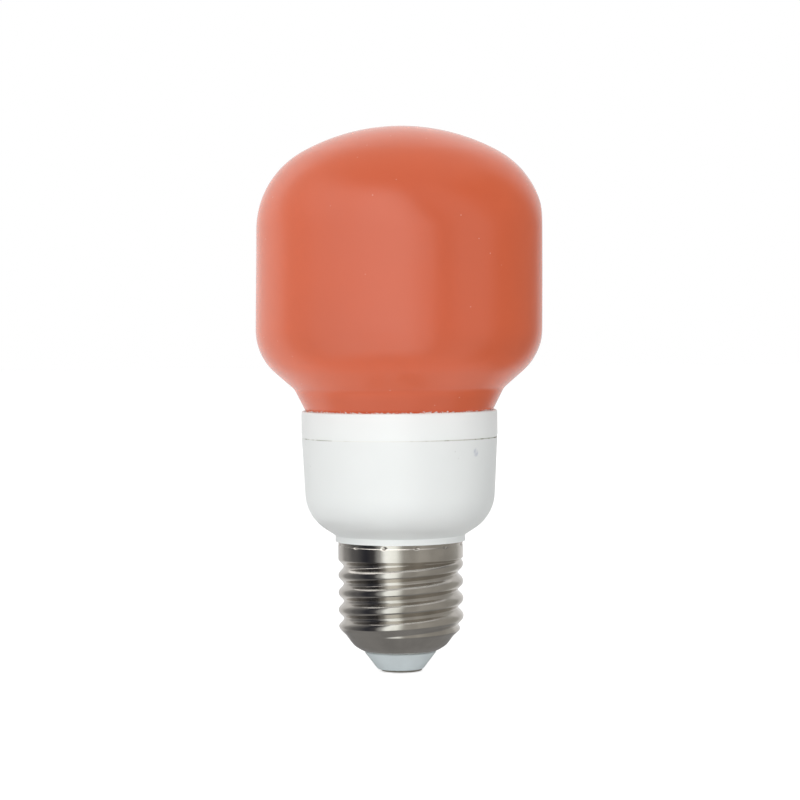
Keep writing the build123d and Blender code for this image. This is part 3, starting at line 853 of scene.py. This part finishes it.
# What the flags round the cap put into its metal, by the bearing of the place on them.
CAP_FLAGS = (
    (-180, 0.80),
    (-130, 0.78),
    (-104, 0.70),
    (-87, 0.34),
    (-66, (0.14, 0.14, 0.145)),
    (-45, (0.034, 0.036, 0.046)),
    (-35, (0.060, 0.060, 0.066)),
    (-27, (0.42, 0.43, 0.43)),
    (-18, (1.42, 1.49, 1.49)),
    (-8, (1.30, 1.36, 1.33)),
    (5, (0.42, 0.415, 0.39)),
    (15, (0.39, 0.38, 0.355)),
    (24, (0.46, 0.45, 0.42)),
    (45, (0.38, 0.37, 0.345)),
    (66, (0.36, 0.35, 0.33)),
    (88, (0.42, 0.42, 0.40)),
    (103, 0.72),
    (130, 0.85),
    (180, 0.80),
)
BRIGHTEST = 2.3
OVERHEAD, UNDERFOOT = 0.7, 0.9
CAP_FLOOR = 0.26
STEEP = (0.60, 0.90)  # slope of a direction where the upper or lower end of the room starts and is full
ROOM_TWIST = 0.10  # turn of the room's pattern with height, in turns
FLAG_FADE = 0.006  # height over which the flags go over to the floor below the cap
ROOM_LEVEL = 0.42
PAPER_LIFT = 0.64


def grey(level):
    return (level / BRIGHTEST,) * 3


class ReflectedTree(NodeTree):
    """Nodes that colour what surrounds the lamp by the bearing from it."""

    def around(self, place, room, twist=0.0):
        """Colour ramp round the horizon, as a share of the brightest level, turned with height."""
        forward = self.math("MULTIPLY", place["Y"], -1.0)
        bearing = self.math("ARCTAN2", place["X"], forward)
        share = self.math("ADD", self.math("DIVIDE", bearing, 2 * pi), 0.5)
        share = self.math("ADD", share, self.math("MULTIPLY", self.math("MAXIMUM", place["Z"]), twist))
        ramp = self.nodes.new("ShaderNodeValToRGB")
        ramp.color_ramp.interpolation = "EASE"
        stops = ramp.color_ramp.elements
        while len(stops) < len(room):
            stops.new(0.5)
        for stop, (degree, level) in zip(stops, room):
            colour = level if isinstance(level, tuple) else (level, level, level)
            stop.position = (degree + 180) / 360
            stop.color = (*(part / BRIGHTEST for part in colour), 1)
        self.links.new(share, ramp.inputs["Fac"])
        return ramp.outputs["Color"]

    def background(self, strength):
        node = self.nodes.new("ShaderNodeBackground")
        node.inputs["Color"].default_value = (1, 1, 1, 1)
        node.inputs["Strength"].default_value = strength
        return node

    def choose(self, factor, first, second):
        node = self.nodes.new("ShaderNodeMixShader")
        self.links.new(factor, node.inputs["Fac"])
        self.links.new(first, node.inputs[1])
        self.links.new(second, node.inputs[2])
        return node.outputs["Shader"]


def light_room(world, level):
    """Even room light, white where the camera looks and a white tent with its gaps in gloss."""
    world.use_nodes = True
    room = ReflectedTree(world.node_tree)
    even = room.nodes["Background"]
    even.inputs["Color"].default_value = (1, 1, 1, 1)
    even.inputs["Strength"].default_value = level
    white = room.background(1.0)
    tent = room.background(BRIGHTEST)
    place = room.place("Generated")
    colour = room.around(place, REFLECTED_ROOM, ROOM_TWIST)
    colour = room.mix(room.ramp(place["Z"], *STEEP), colour, grey(OVERHEAD))
    down = room.math("MULTIPLY", place["Z"], -1.0)
    colour = room.mix(room.ramp(down, *STEEP), colour, grey(UNDERFOOT))
    room.links.new(colour, tent.inputs["Color"])
    ray = room.nodes.new("ShaderNodeLightPath").outputs
    seen = room.math("MAXIMUM", ray["Is Camera Ray"], ray["Is Transmission Ray"])
    mixed = room.choose(ray["Is Glossy Ray"], even.outputs["Background"], tent.outputs["Background"])
    mixed = room.choose(seen, mixed, white.outputs["Background"])
    room.links.new(mixed, room.nodes["World Output"].inputs["Surface"])


def place_cap_flags():
    """Flags close round and under the cap, which only its reflections see."""
    radius, low, high, steps = 0.020, -0.001, 0.0285, 96
    mesh_edit = bmesh.new()
    rings = []
    for z in (low, high):
        angles = [2 * pi * step / steps for step in range(steps)]
        rings.append([mesh_edit.verts.new((radius * cos(a), radius * sin(a), z)) for a in angles])
    join_rows(mesh_edit, *rings)
    mesh_edit.faces.new(rings[0])
    flags = add_object(mesh_edit, "cap_flags")
    flags.visible_camera = False
    flags.visible_diffuse = False
    flags.visible_transmission = False
    flags.visible_volume_scatter = False
    flags.visible_shadow = False
    material = bpy.data.materials.new("flag_cloth")
    material.use_nodes = True
    cloth = ReflectedTree(material.node_tree)
    cloth.nodes.remove(cloth.nodes["Principled BSDF"])
    glow = cloth.nodes.new("ShaderNodeEmission")
    glow.inputs["Strength"].default_value = BRIGHTEST
    place = cloth.place()
    low_end = cloth.ramp(cloth.math("MULTIPLY", place["Z"], -1.0), -FLAG_FADE, 0.0)
    colour = cloth.mix(low_end, cloth.around(place, CAP_FLAGS), grey(CAP_FLOOR))
    cloth.links.new(colour, glow.inputs["Color"])
    cloth.links.new(glow.outputs["Emission"], cloth.nodes["Material Output"].inputs["Surface"])
    flags.data.materials.append(material)


class BULB_OT_stage(bpy.types.Operator):
    """Set the white studio: world, floor, soft lamps and camera"""

    bl_idname = "bulb.stage"
    bl_label = "Stage and camera"

    def execute(self, context):
        scene = context.scene
        scene.view_settings.view_transform = "Standard"
        scene.world = bpy.data.worlds.new("studio")
        light_room(scene.world, ROOM_LEVEL)
        place_floor()
        place_cap_flags()
        place_lamps()
        place_camera(scene)
        return {"FINISHED"}


def place_floor():
    """A wide pale floor under the contact, which keeps the lamp's shadow."""
    mesh_edit = bmesh.new()
    half, gap = 3.0, 0.0002
    corners = ((-half, -half, 0), (half, -half, 0), (half, half, 0), (-half, half, 0))
    mesh_edit.faces.new([mesh_edit.verts.new(corner) for corner in corners])
    floor = add_object(mesh_edit, "studio_floor")
    floor.location.z = -gap
    floor.visible_glossy = False
    floor.data.materials.append(paper_finish())


def paper_finish():
    """White paper: lifted to white where the camera sees it, with the shadow left in."""
    paper = Finish("white_paper", (0.86, 0.86, 0.86), 0.9)
    paper.bump(paper.noise(900, 2), 0.03, 0.0001)
    light_path = paper.nodes.new("ShaderNodeLightPath")
    paper.shader.inputs["Emission Color"].default_value = (1, 1, 1, 1)
    lift = paper.math("MULTIPLY", light_path.outputs["Is Camera Ray"], PAPER_LIFT)
    paper.links.new(lift, paper.shader.inputs["Emission Strength"])
    return paper.material


def place_lamps():
    aim = (0, 0, 0.06)
    softbox("key_front", (-0.22, -1.00, 0.46), aim, 0.9, 0.9, 5.9)
    softbox("fill_left", (-0.90, -0.45, 0.25), aim, 0.7, 0.9, 1.5)
    softbox("fill_right", (0.90, -0.45, 0.25), aim, 0.7, 0.9, 2.0)
    softbox("fill_back", (0.25, 1.00, 0.14), aim, 0.9, 0.9, 2.6)


def place_camera(scene):
    """The photograph's view, from just above the middle and looking slightly down."""
    distance = 0.545
    sideways = 0.00015
    eye_height = 0.0747
    look_height = 0.0565
    focal_pixels, photo_width = 2616, 800
    sensor_width = 36.0
    roll = -0.5
    camera = bpy.data.cameras.new("photo_camera")
    camera.sensor_width = sensor_width
    camera.lens = sensor_width * focal_pixels / photo_width
    camera.clip_start = 0.01
    holder = bpy.data.objects.new("photo_camera", camera)
    holder.location = (sideways, -distance, eye_height)
    gaze = Vector((sideways, 0, look_height)) - holder.location
    turn = gaze.to_track_quat("-Z", "Y").to_matrix()
    holder.rotation_euler = (turn @ Matrix.Rotation(radians(roll), 3, "Z")).to_euler()
    scene.collection.objects.link(holder)
    scene.camera = holder


class BULB_PT_panel(bpy.types.Panel):
    """Sizes, colours and build steps of the bulb"""

    bl_idname = "BULB_PT_panel"
    bl_label = "Energy Saving Bulb"
    bl_space_type = "VIEW_3D"
    bl_region_type = "UI"
    bl_category = "Bulb"

    def draw(self, context):
        for group in (context.scene.bulb_sizes, context.scene.bulb_colours):
            box = self.layout.box()
            for name in group.__annotations__:
                box.prop(group, name)
        for step in STEPS:
            self.layout.operator(step.bl_idname)


STEPS = (
    BULB_OT_globe,
    BULB_OT_housing,
    BULB_OT_screw_cap,
    BULB_OT_cap_end,
    BULB_OT_inside,
    BULB_OT_stage,
)
CLASSES = (BulbSizes, BulbColours, *STEPS, BULB_PT_panel)


def register():
    for item in CLASSES:
        bpy.utils.register_class(item)
    bpy.types.Scene.bulb_sizes = bpy.props.PointerProperty(type=BulbSizes)
    bpy.types.Scene.bulb_colours = bpy.props.PointerProperty(type=BulbColours)


def unregister():
    del bpy.types.Scene.bulb_colours
    del bpy.types.Scene.bulb_sizes
    for item in reversed(CLASSES):
        bpy.utils.unregister_class(item)


def main():
    register()
    bpy.ops.bulb.globe()
    bpy.ops.bulb.housing()
    bpy.ops.bulb.screw_cap()
    bpy.ops.bulb.cap_end()
    bpy.ops.bulb.inside()
    bpy.ops.bulb.stage()


if __name__ == "__main__":
    main()
